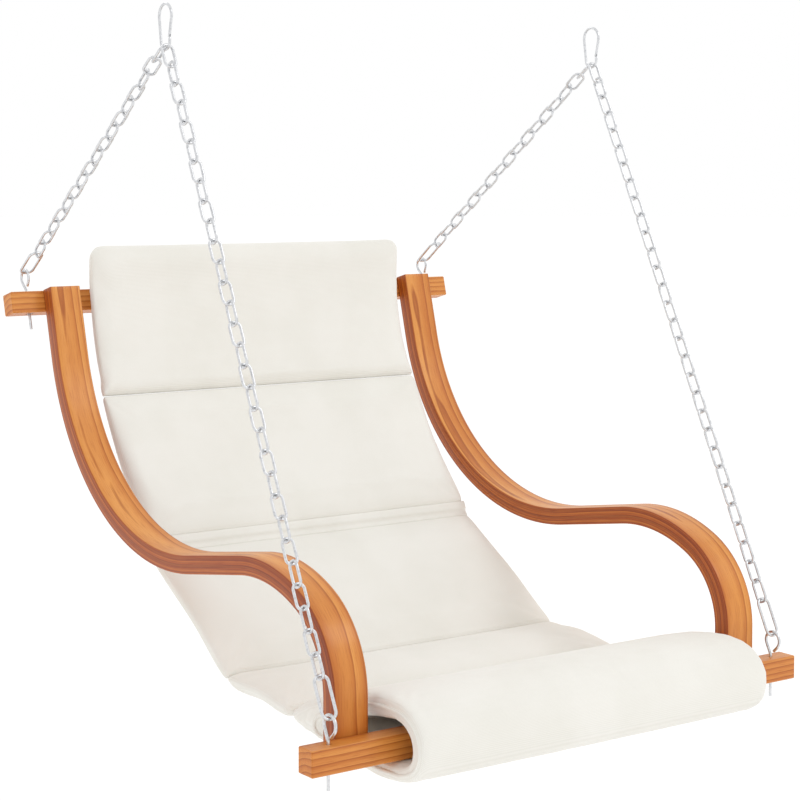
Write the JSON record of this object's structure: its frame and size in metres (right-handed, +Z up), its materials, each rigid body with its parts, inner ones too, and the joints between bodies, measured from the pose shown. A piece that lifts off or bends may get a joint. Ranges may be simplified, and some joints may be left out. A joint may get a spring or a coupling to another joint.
{
  "type": "porch swing",
  "caption": "Hanging lounge swing: a padded sling seat between bent timber arms and two crossbars, hung by chains from a pair of snap hooks.",
  "frame": {"origin": "midway between the two snap hooks, at the height of the inside of their crowns, where the ceiling eyes bear", "axes": "+Z up; +X along the crossbars, to the right for someone looking at the seat's front; the sitter faces -Y"},
  "size_m": [0.91, 1.0017, 1.0685],
  "materials": {
    "varnished_timber": "satin",
    "cream_cloth": "matte",
    "zinc_steel": "gloss",
    "fastener_steel": "satin"
  },
  "bodies": {
    "hooks": {"hook_left": "zinc_steel", "hook_right": "zinc_steel"},
    "gate_left": {"hook_gate_left": "zinc_steel", "gate_rivet_left": "zinc_steel"},
    "gate_right": {"hook_gate_right": "zinc_steel", "gate_rivet_right": "zinc_steel"},
    "top_links": {"top_link_back_left": "zinc_steel", "top_link_back_right": "zinc_steel", "top_link_front_left": "zinc_steel", "top_link_front_right": "zinc_steel"},
    "chains_left": {"chain_front_left": "zinc_steel", "chain_back_left": "zinc_steel", "long_link_front_left": "zinc_steel", "long_link_back_left": "zinc_steel"},
    "chains_right": {"chain_front_right": "zinc_steel", "chain_back_right": "zinc_steel", "long_link_front_right": "zinc_steel", "long_link_back_right": "zinc_steel"},
    "seat": {"arm_insert_left_a": "fastener_steel", "arm_insert_left_b": "fastener_steel", "arm_insert_right_a": "fastener_steel", "arm_insert_right_b": "fastener_steel", "arm_left": "varnished_timber", "arm_right": "varnished_timber", "back_arm_bolt_left_a": "fastener_steel", "back_arm_bolt_left_b": "fastener_steel", "back_arm_bolt_right_a": "fastener_steel", "back_arm_bolt_right_b": "fastener_steel", "back_bar": "varnished_timber", "back_sleeve": "cream_cloth", "cushion_back_band": "cream_cloth", "cushion_front_roll": "cream_cloth", "cushion_headrest": "cream_cloth", "cushion_lower_back": "cream_cloth", "cushion_seat": "cream_cloth", "cushion_upper_back": "cream_cloth", "eye_bolt_back_left": "zinc_steel", "eye_bolt_back_right": "zinc_steel", "eye_bolt_front_left": "zinc_steel", "eye_bolt_front_right": "zinc_steel", "front_arm_bolt_left_a": "fastener_steel", "front_arm_bolt_left_b": "fastener_steel", "front_arm_bolt_right_a": "fastener_steel", "front_arm_bolt_right_b": "fastener_steel", "front_bar": "varnished_timber", "front_bar_insert_left_a": "fastener_steel", "front_bar_insert_left_b": "fastener_steel", "front_bar_insert_right_a": "fastener_steel", "front_bar_insert_right_b": "fastener_steel", "nut_back_left": "zinc_steel", "nut_back_right": "zinc_steel", "nut_front_left": "zinc_steel", "nut_front_right": "zinc_steel", "washer_back_left": "zinc_steel", "washer_back_right": "zinc_steel", "washer_front_left": "zinc_steel", "washer_front_right": "zinc_steel"}
  },
  "joints": [
    {"name": "gate_left_hinge", "type": "hinge", "parent": "hooks", "child": "gate_left", "pos_m": [-0.418, -0.0118, -0.0456], "axis": [-1, 0, 0], "range_deg": [0, 28], "stiffness_Nm_per_rad": 0.02, "springref_deg": -9.74},
    {"name": "gate_right_hinge", "type": "hinge", "parent": "hooks", "child": "gate_right", "pos_m": [0.418, -0.0118, -0.0456], "axis": [-1, 0, 0], "range_deg": [0, 28], "stiffness_Nm_per_rad": 0.02, "springref_deg": -9.74},
    {"name": "swing", "type": "hinge", "parent": "hooks", "child": "top_links", "pos_m": [0, 0, -0.05911], "axis": [1, 0, 0], "range_deg": [-25, 25]},
    {"name": "sway_left", "type": "hinge", "parent": "top_links", "child": "chains_left", "pos_m": [-0.418, 0.00624, -0.08394], "axis": [0, 0.8527, 0.5225], "range_deg": [-8, 8]},
    {"name": "sway_right", "type": "hinge", "parent": "top_links", "child": "chains_right", "pos_m": [0.418, 0.00624, -0.08394], "axis": [0, 0.8527, 0.5225], "range_deg": [-8.5, 8.5]},
    {"name": "seat_level", "type": "hinge", "parent": "chains_left", "child": "seat", "pos_m": [-0.418, -0.42552, -0.96373], "axis": [0, 0.8527, 0.5225], "range_deg": [-8.5, 8.5]}
  ],
  "couplings": [
    {"joint": "sway_right", "follows": "sway_left", "ratio": 1},
    {"joint": "seat_level", "follows": "sway_left", "ratio": -1}
  ]
}
